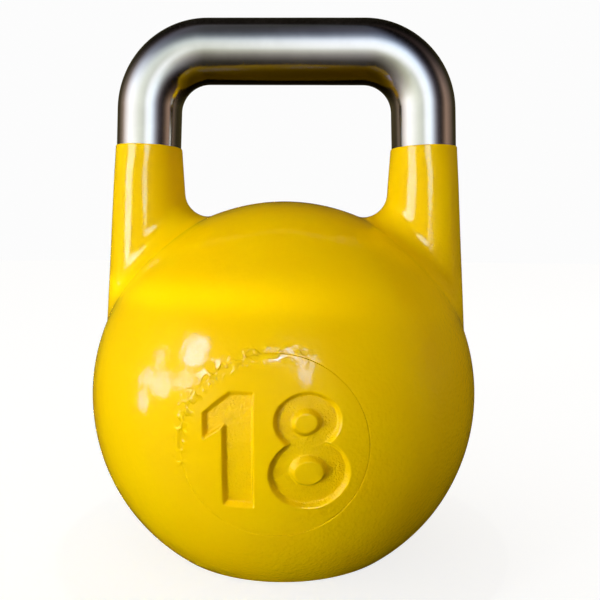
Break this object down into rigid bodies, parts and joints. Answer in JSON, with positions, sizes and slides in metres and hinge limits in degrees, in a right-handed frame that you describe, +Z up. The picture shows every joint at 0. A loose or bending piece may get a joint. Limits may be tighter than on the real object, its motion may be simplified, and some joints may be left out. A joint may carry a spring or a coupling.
{
  "type": "competition kettlebell",
  "caption": "Competition kettlebell: a hollow painted bell with a flat foot, two horns and a bare steel handle, marked with its weight on recessed discs.",
  "frame": {"origin": "centre of the flat base, on the surface that the bell stands on", "axes": "+Z up through the handle, +X along the bar, the front with the weight number faces -Y"},
  "size_m": [0.21, 0.21, 0.2887],
  "materials": {
    "yellow_paint": "gloss enamel over cast steel",
    "bare_handle_steel": "satin, polished round the bar",
    "plug_steel": "turned and oiled",
    "seal_rubber": "matt black",
    "bonded_shot": "iron shot in resin"
  },
  "bodies": {
    "root": {"bell_body": "yellow_paint", "handle_bar": "bare_handle_steel", "left_handle_weld": "yellow_paint", "right_handle_weld": "yellow_paint", "front_number_disc": "yellow_paint", "rear_number_disc": "yellow_paint", "base_plug": "plug_steel", "plug_seal": "seal_rubber", "ballast_fill": "bonded_shot"}
  },
  "joints": []
}
